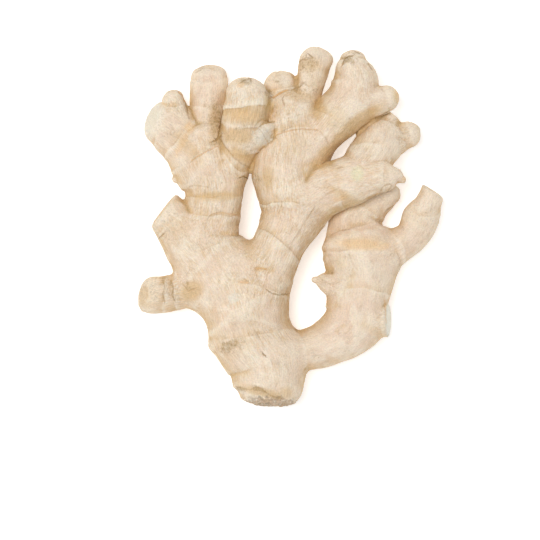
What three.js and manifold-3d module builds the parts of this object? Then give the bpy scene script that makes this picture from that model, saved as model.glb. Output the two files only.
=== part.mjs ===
// A whole fresh ginger rhizome, the branched "hand" that is sold as ginger root.
// It grew as one piece, so it is one solid: limbs with ringed, slightly flattened sections
// grow out of a thick trunk, and the whole lies flat, as it would on a table.
// Millimetres, +Z up. The origin is on the table, under the middle of the rhizome.
// +Y runs from the old, scarred end of the trunk to the youngest finger tips.

import * as THREE from "three";
import { mergeVertices } from "three/addons/utils/BufferGeometryUtils.js";
import Module from "manifold-3d";

const UP = new THREE.Vector3(0, 0, 1);

const skin = {
  color: 0xd9c4a6,
  roughness: 0.72,
  metalness: 0,
};

// A ring is the scar of a scale leaf: the skin swells up to it, then steps in.
const ring = {
  swell: 0.55, // height of the swelling just before the ring
  swellLength: 2.6, // length over which it builds up
  step: 0.45, // depth of the step just past the ring
  stepLength: 2.2, // length over which the step fades
  edge: 0.35, // distance of the crest and of the foot from the ring itself
  bow: 1.6, // how far a ring runs towards the tip on the top and underside
};

// Unevenness of the grown surface, as shares of the local radius.
const unevenness = {
  oval: 0.025,
  lobed: 0.02,
  lobeTwist: 15, // mm along a limb in which the lobes turn by one radian
  lump: 0.3, // mm
  lumpPitch: 2.6, // mm, one radian of the waves that make the lumps
};

const rowSpacing = 8.5; // longest stretch between two rows of vertices
const sideLength = 5.4; // length of one side of a section, before rounding the count
const tipRows = 3; // rows of vertices that round off an end
const table = { size: 300, depth: 40 };
const cutterSize = 90;

// Every limb is a path of [x, y, z, half width, half height]. The first point lies inside the
// limb that it grows from. rings are [distance along the path, strength], and a ring of negative
// strength steps in on the side of the root. tip is how far the rounded end reaches past the last
// point, and a cut is a plane at which the limb was snapped or sliced off.
const limbs = {
  trunk: {
    path: [
      [-11, -86.5, 14.5, 14, 11.5],
      [-10.5, -80, 15.5, 17.5, 15],
      [-11.5, -68, 14.8, 19.25, 16.5],
      [-19.5, -54.5, 15.3, 19.75, 17],
      [-22.5, -42, 16.2, 19.25, 16.5],
      [-26.5, -29.5, 16, 21, 15.5],
      [-30, -19, 15.5, 19, 14],
    ],
    rings: [[33, 0.9]],
    base: 3,
    tip: 8,
  },
  leftLimb: {
    path: [
      [-22.5, -39.5, 16.5, 17, 15],
      [-35, -21, 15, 17.5, 15],
      [-42, -7, 14, 16.5, 14.5],
      [-39, 7, 14, 14.25, 13.5],
      [-37.5, 18, 14.5, 14.75, 13.5],
      [-39.5, 27, 14.5, 17.5, 13],
      [-42.5, 38, 14, 17.5, 12.5],
      [-45, 45.5, 13.5, 13.5, 11.5],
    ],
    rings: [[33, 0.6], [48, 1], [56, 0.6], [67, 0.5], [78, 0.6]],
    tip: 5,
  },
  leftKnob: {
    path: [
      [-42, -15.5, 15, 15, 13.5],
      [-50, -8, 14.5, 14, 13],
      [-56.5, 0.5, 14, 11.5, 12],
      [-63, 8.5, 13.5, 10, 10.5],
      [-67, 14, 13.5, 9, 9.5],
    ],
    rings: [[20, 0.4]],
    tip: 3,
    cut: { at: [-63, 8.5, 13.5], facing: [-0.79, 0.6, 0.1] },
  },
  lowerStub: {
    path: [
      [-42.5, -31, 15, 10.5, 11],
      [-52.5, -32, 14, 9.25, 10],
      [-62.5, -34, 13, 9.25, 9.5],
      [-70, -34.5, 12.5, 9.5, 9.5],
      [-78, -35, 12.5, 8.5, 8.5],
    ],
    rings: [[16.5, 0.6], [21.5, 0.7]],
    tip: 3,
    cut: { at: [-72.5, -34, 12.5], facing: [-0.9, 0.12, 0.42] },
  },
  fingerA: {
    path: [
      [-42, 32, 14, 13.5, 12],
      [-52, 41.5, 13, 13.75, 11.5],
      [-61, 49.5, 12.5, 12.75, 11],
      [-68, 53.5, 12.5, 10.5, 10.5],
      [-74.5, 57, 12.5, 8.5, 9.5],
    ],
    rings: [[17, 0.6], [23, 0.4], [29, 0.3]],
    tip: 3,
    cut: { at: [-69.5, 51.5, 12.5], facing: [-0.86, 0.4, 0.32] },
  },
  fingerATop: {
    path: [
      [-54.5, 50, 14, 6.5, 8],
      [-57, 58.5, 14.5, 6.25, 7],
      [-58.5, 63, 15, 5.75, 6],
    ],
    rings: [[8, 0.4]],
    tip: 5,
  },
  leftSpur: {
    path: [
      [-49, 27, 14, 6.5, 8],
      [-54, 24.5, 13.5, 4, 5],
      [-57, 24, 13, 2, 3],
    ],
    rings: [],
    tip: 1.6,
  },
  fingerB: {
    path: [
      [-41, 35, 13, 10, 11],
      [-42, 50, 11.5, 8.75, 9.5],
      [-41.5, 62, 9.4, 9, 9.5],
      [-40.5, 71, 9, 9.75, 9.5],
      [-40.5, 75.5, 9.4, 8.75, 8.5],
    ],
    rings: [[20, 0.7], [36, 0.3]],
    tip: 5.4,
  },
  fingerC: {
    path: [
      [-28, 27, 15, 7, 9],
      [-26.5, 36, 20, 9, 10.5],
      [-23.5, 47.5, 24, 10.75, 11],
      [-21.5, 59.5, 25.5, 11.25, 11],
      [-21.5, 66.5, 26, 10.25, 10],
    ],
    rings: [[5, 0.8], [13.5, -0.8], [23, -1], [33, -1]],
    tip: 7,
  },
  lobeC: {
    path: [
      [-20.5, 43, 25, 6.5, 8],
      [-14.5, 45.5, 28, 6.25, 6.5],
      [-9.5, 47.5, 30, 5.25, 5],
    ],
    rings: [[7, 0.6]],
    tip: 3.4,
    cut: { at: [-10.5, 47, 30], facing: [0.55, -0.1, 0.8] },
  },
  middleLimb: {
    path: [
      [-18.5, -43, 16.5, 14.5, 15],
      [-13, -27.5, 16.5, 13, 14.5],
      [-6, -11, 17, 13, 14],
      [0.5, 4.5, 17.5, 15, 14.5],
      [0.5, 18, 18, 17.5, 15],
      [-0.5, 29, 17.5, 19, 15],
      [1.5, 42, 17, 16.5, 14],
      [1, 53.5, 16.5, 14, 12.5],
      [0, 59.5, 16, 12, 11],
    ],
    rings: [[11, 0.6], [35, 0.7], [57.5, 0.8], [94, 0.8]],
    tip: 6,
  },
  fingerD: {
    path: [
      [0, 55, 16, 11, 11],
      [-3, 64, 15.5, 10, 10],
      [-4, 68.5, 15.5, 9.25, 9],
    ],
    rings: [[10, 1]],
    tip: 9,
  },
  fingerE: {
    path: [
      [4, 54, 17, 8.5, 10],
      [8.3, 66, 17.5, 6.9, 8.5],
      [10.8, 74.5, 18, 7.4, 8.5],
      [12, 82, 18, 7.75, 8],
    ],
    rings: [[24, 0.4]],
    tip: 7.6,
  },
  fingerESpur: {
    path: [
      [15.5, 81.5, 18, 3, 5],
      [19, 83, 18, 2, 3.5],
    ],
    rings: [],
    tip: 2,
  },
  fingerF: {
    path: [
      [9, 38, 17.5, 9.5, 12],
      [20.2, 51.3, 19, 11.2, 12],
      [29.8, 63.5, 20, 11.9, 11],
      [32.3, 72, 20.5, 12, 10.5],
      [31.2, 79.5, 21, 8.75, 9],
      [31, 83.5, 21, 6.5, 7.5],
    ],
    rings: [[21, 0.5], [48, 0.8]],
    tip: 4,
  },
  fingerG: {
    path: [
      [26, 54, 19.5, 9, 11],
      [36, 59.5, 20.5, 8.75, 9.5],
      [44.5, 62.5, 21.5, 7, 7.5],
      [48, 64, 22, 6.25, 6.5],
    ],
    rings: [[21, 0.5]],
    tip: 6,
  },
  branchH: {
    path: [
      [5, 10.5, 18, 15, 14],
      [17.5, 18, 21.5, 13, 13],
      [30, 22, 25, 11.75, 11.5],
      [42.5, 24, 27, 9, 9],
      [49, 24, 27.5, 7.25, 7.5],
      [53, 24, 27.5, 4.75, 5.5],
      [55.5, 23, 27.5, 2.5, 3.5],
    ],
    rings: [[21, 0.4], [43, 0.5]],
    tip: 2.6,
  },
  fingerI: {
    path: [
      [27.5, 20, 22, 8.5, 11],
      [37.5, 31.8, 19.5, 11.2, 11],
      [43, 40.5, 16, 11.75, 10.5],
      [46.5, 49, 13, 10, 9],
      [48, 52.5, 12, 7.75, 7.5],
    ],
    rings: [[14, 0.5], [27, 0.5]],
    tip: 5,
  },
  lobeJ: {
    path: [
      [46, 41, 15, 10.5, 9.5],
      [54.5, 44, 13.5, 8, 8],
      [59, 45.5, 13, 6.75, 6.5],
    ],
    rings: [[8.5, 0.3]],
    tip: 6.4,
  },
  rightArm: {
    path: [
      [-14, -69, 15, 13.5, 14],
      [2.5, -63, 13.5, 10.75, 12],
      [17.5, -59, 12.5, 11.25, 12],
      [30.5, -50, 12.3, 15, 12.5],
      [34, -38, 12, 15, 12.5],
      [36, -25.5, 12, 16.75, 12.5],
      [34.5, -14, 12.5, 18, 12],
      [32.5, -6.5, 12, 17, 11],
    ],
    rings: [[19, 0.5], [66, 0.9], [90, 0.9]],
    tip: 4,
  },
  armStub: {
    path: [
      [34, -48, 12.5, 10, 11.5],
      [44, -47, 12.5, 9, 10.5],
      [53, -47, 12.5, 8.5, 9.5],
    ],
    rings: [[13, 0.5]],
    tip: 2,
    cut: { at: [49, -47, 12.5], facing: [0.96, 0, 0.28] },
  },
  armTop: {
    path: [
      [33, -10, 12, 15, 10.5],
      [33.5, -2, 11, 14.75, 9.5],
      [35, 6, 10, 14.5, 9],
      [41.5, 11.5, 9.5, 10.5, 8],
      [47, 14.5, 9.5, 8, 7],
      [51.5, 16.5, 9.5, 5.25, 6],
    ],
    rings: [[8.5, 1], [18.5, 0.7]],
    tip: 4,
  },
  fingerK: {
    path: [
      [38, -16, 13, 12.5, 11.5],
      [50, -11.5, 12.5, 10.5, 9.5],
      [60, -5.5, 12.5, 8.75, 8.5],
      [66, 4.5, 13, 9.25, 8.5],
      [69.5, 12.5, 13.5, 7, 7.5],
      [73, 20.5, 14, 6, 7],
    ],
    rings: [[22, 0.6], [36, 0.3]],
    tip: 2,
    cut: { at: [71.25, 17.75, 13.5], facing: [0.56, 0.82, 0.1] },
  },
  armBud: {
    path: [
      [25, -29.5, 13.5, 7.5, 8],
      [18, -27.5, 14, 4.75, 4.5],
      [13, -27, 14.5, 1.75, 2],
    ],
    rings: [],
    tip: 2.4,
  },
  sideKnob: {
    path: [
      [-29.5, -60, 14, 7.5, 10],
      [-36.5, -59, 13.5, 4.75, 7],
    ],
    rings: [],
    tip: 4.5,
  },
};

const wasm = await Module();
wasm.setup();

// A closed three.js geometry as a solid that can be joined and cut.
function solidOf(geometry) {
  const bare = new THREE.BufferGeometry();
  bare.setAttribute("position", geometry.getAttribute("position"));
  bare.setIndex(geometry.index);
  const merged = mergeVertices(bare, 1e-4);
  return new wasm.Manifold(
    new wasm.Mesh({
      numProp: 3,
      vertProperties: merged.attributes.position.array,
      triVerts: new Uint32Array(merged.index.array),
    }),
  );
}

// Height of the skin above the plain limb, at a distance along it.
function ringRelief(distance, rings) {
  let height = 0;
  for (const [at, strength] of rings) {
    const past = (distance - at) * Math.sign(strength);
    const shape =
      past < 0
        ? ring.swell * Math.exp(past / ring.swellLength)
        : -ring.step * Math.exp(-past / ring.stepLength);
    height += Math.abs(strength) * shape;
  }
  return height;
}

// Distances along a limb at which it gets a row of vertices: both sides of every ring, the
// start of its swelling, the end of its step, and even rows in between.
function rowDistances(length, rings) {
  const marks = [0, length];
  for (const [at, strength] of rings) {
    const swollen = at - ring.swellLength * Math.sign(strength);
    marks.push(swollen, at - ring.edge, at + ring.edge);
  }
  const inside = marks.filter((d) => d >= 0 && d <= length).sort((a, b) => a - b);
  const rows = [inside[0]];
  for (const mark of inside.slice(1)) {
    const from = rows[rows.length - 1];
    const steps = Math.max(1, Math.ceil((mark - from) / rowSpacing));
    for (let i = 1; i <= steps; i++) {
      rows.push(from + ((mark - from) * i) / steps);
    }
  }
  return rows;
}

// Slow waves through space that keep neighbouring limbs from looking turned on a lathe.
function lump(p) {
  const q = p.clone().divideScalar(unevenness.lumpPitch);
  const waves =
    Math.sin(q.x + 0.6 * q.y) + Math.sin(q.y - 0.5 * q.z + 1.3) + Math.sin(q.z + 0.4 * q.x + 2.1);
  return (unevenness.lump * waves) / 3;
}

function limbGeometry({ path, rings, tip, base = 0 }, seed) {
  const spine = new THREE.CatmullRomCurve3(
    path.map(([x, y, z]) => new THREE.Vector3(x, y, z)),
    false,
    "catmullrom",
  );
  const girth = new THREE.CatmullRomCurve3(
    path.map(([, , , width, height]) => new THREE.Vector3(width, height, 0)),
    false,
    "catmullrom",
  );
  const length = spine.getLength();
  const widest = Math.max(...path.map(([, , , width]) => width));
  const sides = Math.max(12, 4 * Math.round((Math.PI * widest) / (2 * sideLength)));
  const vertices = [];

  // One row of vertices, its centre moved past the path and its section shrunk by share.
  function addRow(distance, past, share) {
    const t = spine.getUtoTmapping(distance / length);
    const along = spine.getTangent(t);
    const side = new THREE.Vector3().crossVectors(UP, along).normalize();
    const above = new THREE.Vector3().crossVectors(along, side);
    const centre = spine.getPoint(t).addScaledVector(along, past);
    const { x: halfWidth, y: halfHeight } = girth.getPoint(t);
    for (let i = 0; i < sides; i++) {
      const angle = (2 * Math.PI * i) / sides;
      const uneven =
        1 +
        unevenness.oval * Math.cos(2 * angle + seed) +
        unevenness.lobed * Math.cos(3 * angle + 2 * seed + distance / unevenness.lobeTwist);
      const across = new THREE.Vector3()
        .addScaledVector(side, halfWidth * Math.cos(angle))
        .addScaledVector(above, halfHeight * Math.sin(angle));
      const relief = ringRelief(distance, rings) + lump(across.clone().add(centre));
      across.multiplyScalar(uneven).setLength(across.length() * uneven + relief);
      vertices.push(
        centre
          .clone()
          .addScaledVector(across, share)
          .addScaledVector(along, share * ring.bow * Math.sin(angle) ** 2),
      );
    }
  }

  for (let i = tipRows - 1; base && i >= 1; i--) {
    const bend = (i / tipRows) * (Math.PI / 2);
    addRow(0, -base * Math.sin(bend), Math.cos(bend));
  }
  for (const distance of rowDistances(length, rings)) addRow(distance, 0, 1);
  for (let i = 1; i < tipRows; i++) {
    const bend = (i / tipRows) * (Math.PI / 2);
    addRow(length, tip * Math.sin(bend), Math.cos(bend));
  }
  const rows = vertices.length / sides;

  const poles = [
    spine.getPoint(0).addScaledVector(spine.getTangent(0), -base),
    spine.getPoint(1).addScaledVector(spine.getTangent(1), tip),
  ];
  const faces = [];
  for (let i = 0; i < sides; i++) {
    const next = (i + 1) % sides;
    faces.push(vertices.length, next, i);
    for (let row = 0; row < rows - 1; row++) {
      const here = row * sides;
      const there = here + sides;
      faces.push(here + i, here + next, there + next, here + i, there + next, there + i);
    }
    const last = (rows - 1) * sides;
    faces.push(last + i, last + next, vertices.length + 1);
  }
  return new THREE.BufferGeometry().setFromPoints([...vertices, ...poles]).setIndex(faces);
}

// A block whose face lies on a plane, to take away what is beyond that plane.
function blockBeyond({ at, facing }) {
  const out = new THREE.Vector3(...facing).normalize();
  const block = new THREE.BoxGeometry(cutterSize, cutterSize, cutterSize);
  block.translate(0, 0, cutterSize / 2);
  block.applyQuaternion(new THREE.Quaternion().setFromUnitVectors(UP, out));
  block.translate(...at);
  return solidOf(block);
}

function limbSolid(limb, seed) {
  const solid = solidOf(limbGeometry(limb, seed));
  return limb.cut ? solid.subtract(blockBeyond(limb.cut)) : solid;
}

// The table takes off what would reach below it, which leaves the flat spots it rests on.
function tableBlock() {
  const block = new THREE.BoxGeometry(table.size, table.size, table.depth);
  block.translate(0, 0, -table.depth / 2);
  return solidOf(block);
}

function rhizomeGeometry() {
  const grown = Object.values(limbs)
    .map(limbSolid)
    .reduce((body, limb) => body.add(limb));
  const { vertProperties, triVerts } = grown.subtract(tableBlock()).getMesh();
  const geometry = new THREE.BufferGeometry();
  geometry.setAttribute("position", new THREE.BufferAttribute(vertProperties, 3));
  geometry.setIndex(new THREE.BufferAttribute(triVerts, 1));
  geometry.computeVertexNormals();
  return geometry;
}

const rhizome = new THREE.Mesh(rhizomeGeometry(), new THREE.MeshStandardMaterial(skin));
rhizome.name = "ginger_rhizome";

const ginger = new THREE.Group();
ginger.add(rhizome);

export default ginger;
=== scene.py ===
import math

import bmesh
import bpy
import numpy as np
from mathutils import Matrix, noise


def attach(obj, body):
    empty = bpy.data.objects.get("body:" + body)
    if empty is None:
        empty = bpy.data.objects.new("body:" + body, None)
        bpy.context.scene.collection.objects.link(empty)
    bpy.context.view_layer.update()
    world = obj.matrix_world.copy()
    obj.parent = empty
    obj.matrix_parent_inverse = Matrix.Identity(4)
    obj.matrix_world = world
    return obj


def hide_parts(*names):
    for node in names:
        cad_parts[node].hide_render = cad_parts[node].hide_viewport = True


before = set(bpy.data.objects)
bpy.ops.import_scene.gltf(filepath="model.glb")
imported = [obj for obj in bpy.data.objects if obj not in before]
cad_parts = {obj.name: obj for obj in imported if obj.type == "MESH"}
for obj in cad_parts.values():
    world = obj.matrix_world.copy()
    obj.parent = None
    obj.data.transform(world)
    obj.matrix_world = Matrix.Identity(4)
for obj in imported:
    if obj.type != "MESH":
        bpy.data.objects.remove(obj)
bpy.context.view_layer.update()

# The skin is worked out in millimetres and written to the mesh in metres.
# Each limb is a path of (x, y, z, half width, half height), with its first point inside the limb
# that it grows from. rings are (distance along the path, strength, slant, bow): slant is how much
# further along a ring lies on the limb's left side, and bow on its top and underside. A ring of
# negative strength steps in on the side of the root. tip and base are how far the rounded ends
# reach. blend is the softness of the root and how far along the limb it fades out, and fibre how
# strongly the skin is streaked, 1 where none is given. A cut is a plane, edge the rounding of its
# rim and flesh how bare it is.
limbs = {
    "trunk": {
        "path": [(-11, -86.5, 14.5, 14, 11.5), (-10.5, -80, 15.5, 17.5, 15),
            (-11.5, -68, 14.8, 19.25, 16.5), (-19.5, -54.5, 15.3, 19.75, 17),
            (-22.5, -42, 16.2, 19.25, 16.5), (-26.5, -29.5, 16, 21, 15.5), (-30, -19, 15.5, 19, 14)],
        "rings": [(31, 0.3, 6, 4)],
        "base": 3, "tip": 8, "fibre": 0.6,
    },
    "leftLimb": {
        "path": [(-22.5, -39.5, 16.5, 17, 15), (-35, -21, 15, 17.5, 15), (-42, -7, 14, 16.5, 14.5),
            (-39, 7, 14, 14.25, 13.5), (-37.5, 18, 14.5, 14.75, 13.5), (-39.5, 27, 14.5, 17.5, 13),
            (-42.5, 38, 14, 17.5, 12.5), (-45, 45.5, 13.5, 13.5, 11.5)],
        "rings": [(29, 0.3, 1, 4), (50, 0.5, -3, 0.5), (59.5, 0.5, -2, 1), (81.5, 0.4, -4, 1)],
        "tip": 5, "fibre": 0.8, "blend": (9, 46),
    },
    "leftKnob": {
        "path": [(-42, -15.5, 15, 15, 13.5), (-50, -8, 14.5, 14, 13), (-56.5, 0.5, 14, 11.5, 12),
            (-63, 8.5, 13.5, 10, 10.5), (-67, 14, 13.5, 9, 9.5)],
        "rings": [(23.5, 0.3, -0.5, 0)],
        "tip": 3, "fibre": 0.6,
        "cut": {"at": (-63, 8.5, 13.5), "facing": (-0.79, 0.6, 0.1)},
        "edge": 1.6, "flesh": 0.1, "blend": (8, 28),
    },
    "lowerStub": {
        "path": [(-42.5, -31, 15, 10.5, 11), (-52.5, -32, 14, 9.25, 10), (-62.5, -34, 13, 9.25, 9.5),
            (-70, -34.5, 12.5, 9.5, 9.5), (-78, -35, 12.5, 8.5, 8.5)],
        "rings": [(14.5, 0.4, 1, 0.5), (20, 0.4, 2, 0)],
        "tip": 3,
        "cut": {"at": (-73.3, -34.1, 12.5), "facing": (-0.9, 0.12, 0.42)},
        "edge": 4, "flesh": 0.08, "blend": (8, 26),
    },
    "fingerA": {
        "path": [(-42, 32, 14, 13.5, 12), (-52, 41.5, 13, 13.75, 11.5), (-61, 49.5, 12.5, 12.75, 11),
            (-68, 53.5, 12.5, 10.5, 10.5), (-74.5, 57, 12.5, 8.5, 9.5)],
        "rings": [(17.5, 0.5, -1, -0.5), (28.5, 0.4, -4, 3)],
        "tip": 3, "fibre": 0.6,
        "cut": {"at": (-70.4, 51.8, 12.3), "facing": (-0.86, 0.4, 0.32)},
        "edge": 3.5, "flesh": 0.7, "blend": (6, 20),
    },
    "fingerATop": {
        "path": [(-54.5, 50, 14, 6.5, 8), (-57, 58.5, 14.5, 6.25, 7), (-58.5, 63, 15, 5.75, 6)],
        "rings": [(12, 0.6, 1.3, -1.8)],
        "tip": 5,
    },
    "leftSpur": {
        "path": [(-49, 27, 14, 6.5, 8), (-54, 24.2, 13.5, 4, 5), (-57.4, 23.4, 13, 2, 3)],
        "rings": [],
        "tip": 1.6, "blend": (2.5, 6),
    },
    "fingerB": {
        "path": [(-41, 35, 13, 10, 11), (-42, 50, 11.5, 8.75, 9.5), (-41.5, 62, 9.4, 9, 9.5),
            (-40.5, 71, 9, 9.75, 9.5), (-40.5, 75.5, 9.4, 8.75, 8.5)],
        "rings": [(25, 0.3, -1, -2.5)],
        "tip": 5.4, "fibre": 0.3, "blend": (6, 20),
    },
    "fingerC": {
        "path": [(-28, 27, 15, 7, 9), (-26.5, 36, 20, 9, 10.5), (-23.5, 47.5, 24, 10.75, 11),
            (-21.5, 59.5, 25.5, 11.25, 11), (-21.5, 66.5, 26, 10.25, 10)],
        "rings": [(9, 0.6, 5, -1.5), (16.8, -0.7, 0, -3), (26.4, -0.6, -2, -1.3), (35, -0.9, -3, 0.4)],
        "tip": 7,
    },
    "lobeC": {
        "path": [(-20.5, 43.5, 25, 6.5, 8), (-14.5, 45, 28, 6.25, 6.5), (-9.5, 45.5, 29.5, 5.5, 5)],
        "rings": [(7, 0.3, 0, 0)],
        "tip": 3.4, "fibre": 0.3,
        "cut": {"at": (-9, 45, 29), "facing": (0.72, -0.35, 0.6)},
        "edge": 2.2, "flesh": 0.1, "blend": (4, 9),
    },
    "shoulderC": {
        "path": [(-19.5, 60.5, 27, 5.5, 6.5), (-14.4, 63.4, 27.5, 4.2, 5.2), (-13, 64.2, 27.5, 3.6, 4.6)],
        "rings": [],
        "tip": 3, "fibre": 0.3, "blend": (4, 12),
    },
    "middleLimb": {
        "path": [(-18.5, -43, 16.5, 14.5, 15), (-13, -27.5, 16.5, 13, 14.5), (-6, -11, 17, 13, 14),
            (0.5, 4.5, 17.5, 15, 14.5), (0.5, 18, 18, 17.5, 15), (-0.5, 29, 17.5, 19, 15),
            (1.5, 42, 17, 16.5, 14), (1, 53.5, 16.5, 14, 12.5), (0, 59.5, 16, 12, 11)],
        "rings": [(14, 0.4, 0.5, -1), (36, 0.35, 3.5, 2), (56, 0.6, 2, 2.5), (90, 0.5, -1.5, 4.5),
            (104.5, 0.25, -1.5, 0)],
        "tip": 6, "blend": (8.5, 50),
    },
    "fingerD": {
        "path": [(0, 55, 16, 11, 11), (-3, 64, 15.5, 10, 10), (-4, 68.5, 15.5, 9.25, 9)],
        "rings": [(12.7, 0.5, -0.4, 0.8)],
        "tip": 9, "fibre": 0.4, "blend": (8, 20),
    },
    "fingerE": {
        "path": [(4, 54, 17, 8.5, 10), (8.3, 66, 17.5, 6.9, 8.5), (10.8, 74.5, 18, 7.4, 8.5),
            (12, 82, 18, 7.75, 8)],
        "rings": [(17.5, 0.2, -2, 1)],
        "tip": 7.6, "fibre": 0.3, "blend": (6, 14),
    },
    "fingerESpur": {
        "path": [(15.5, 81.5, 18, 3, 5), (19, 83, 18, 2, 3.5)],
        "rings": [],
        "tip": 2,
    },
    "fingerF": {
        "path": [(9, 38, 17.5, 9.5, 12), (20.2, 51.3, 19, 11.2, 12), (29.8, 63.5, 20, 11.9, 11),
            (32.3, 72, 20.5, 12, 10.5), (31.2, 79.5, 21, 8.75, 9), (31, 83.5, 21, 6.5, 7.5)],
        "rings": [(19, 0.4, -1.6, 1.5), (51.8, 0.6, 0, 2)],
        "tip": 4, "fibre": 0.7, "blend": (7, 24),
    },
    "fingerG": {
        "path": [(26, 55, 19.5, 9, 11), (36, 60.2, 20.5, 9.3, 9.8), (44, 62.3, 21.5, 8, 8.2),
            (48, 63.6, 22, 6.6, 6.8)],
        "rings": [],
        "tip": 6, "fibre": 0.5, "blend": (8, 26),
    },
    "branchH": {
        "path": [(5, 10.5, 18, 15, 14), (17.5, 18, 21.5, 13, 13), (30, 22, 25, 11.75, 11.5),
            (42.5, 24, 27, 9, 9), (49, 24, 27.5, 7.25, 7.5), (53, 24, 27.5, 4.75, 5.5),
            (55.5, 23, 27.5, 2.5, 3.5)],
        "rings": [(22.5, 0.3, -0.6, 1.6), (46, 0.5, -1, -1)],
        "tip": 2.6, "fibre": 0.7, "blend": (6, 16),
    },
    "fingerI": {
        "path": [(27.5, 20, 23.5, 8.5, 11), (37.8, 31.6, 21.5, 10.8, 11.5), (43.5, 40.2, 17.5, 11, 11),
            (46.5, 49, 13, 10, 9), (48, 52.5, 12, 7.75, 7.5)],
        "rings": [(18, 0.4, -2, 4)],
        "tip": 5, "fibre": 0.7, "blend": (5.5, 17),
    },
    "lobeJ": {
        "path": [(46, 41, 15, 10.5, 9.5), (54.5, 44, 13.5, 8, 8), (59, 45.5, 13, 6.75, 6.5)],
        "rings": [(10.5, 0.3, 0, -1)],
        "tip": 6.4, "blend": (6, 14),
    },
    "rightArm": {
        "path": [(-14, -69, 15, 13.5, 14), (2.5, -63, 13.5, 10.75, 12), (17.5, -59, 12.5, 11.25, 12),
            (30.5, -50, 12.3, 15, 12.5), (34, -38, 12, 15, 12.5), (36, -25.5, 12, 16.75, 12.5),
            (34.5, -14, 12.5, 18, 12), (32.5, -6.5, 12, 17, 11)],
        "rings": [(21, 0.2, 0, 1), (66, 0.35, -2, 2.5), (90, 0.4, 2, -2)],
        "tip": 4, "fibre": 0.15, "blend": (7, 32),
    },
    "armStub": {
        "path": [(34, -48, 12.5, 10, 11.5), (44, -47, 12.5, 9, 10.5), (53, -47, 12.5, 8.5, 9.5)],
        "rings": [(13, 0.4, 0, 0)],
        "tip": 2,
        "cut": {"at": (49.5, -47, 12.5), "facing": (0.985, 0, 0.17)},
        "edge": 0.5, "flesh": 1, "blend": (6, 16),
    },
    "armTop": {
        "path": [(33, -10, 12, 15, 10.5), (33.5, -2, 11, 14.75, 9.5), (35, 6, 10, 14.5, 9),
            (41.5, 11.5, 9.5, 10.5, 8), (47, 14.5, 9.5, 8, 7), (51.5, 16.5, 9.5, 5.25, 6)],
        "rings": [(11, 0.3, -5, -3.5), (21, 0.35, -5, -2)],
        "tip": 4, "fibre": 0.25, "blend": (5, 14),
    },
    "fingerK": {
        "path": [(38, -16, 13, 12.5, 11.5), (50, -11.5, 12.5, 10.5, 9.5), (60, -5.5, 12.5, 8.75, 8.5),
            (66, 4.5, 13, 9.25, 8.5), (69.5, 12.5, 13.5, 7, 7.5), (73, 20.5, 14, 6, 7)],
        "rings": [(16, 0.3, 0, 3), (39, 0.25, -3, -2)],
        "tip": 2, "fibre": 0.4,
        "cut": {"at": (71.25, 17.75, 13.5), "facing": (0.56, 0.82, 0.1)},
        "edge": 1.2, "flesh": 0.2, "blend": (8, 24),
    },
    "armBud": {
        "path": [(25, -29.5, 13.5, 9, 9), (18, -28, 14, 5.5, 5), (13, -27, 14.5, 1.6, 1.5)],
        "rings": [],
        "tip": 2.4, "blend": (4, 8),
    },
    "sideKnob": {
        "path": [(-29.5, -60, 14, 7.5, 10), (-36.5, -59, 13.5, 4.75, 7)],
        "rings": [],
        "tip": 4.5,
    },
}

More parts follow.
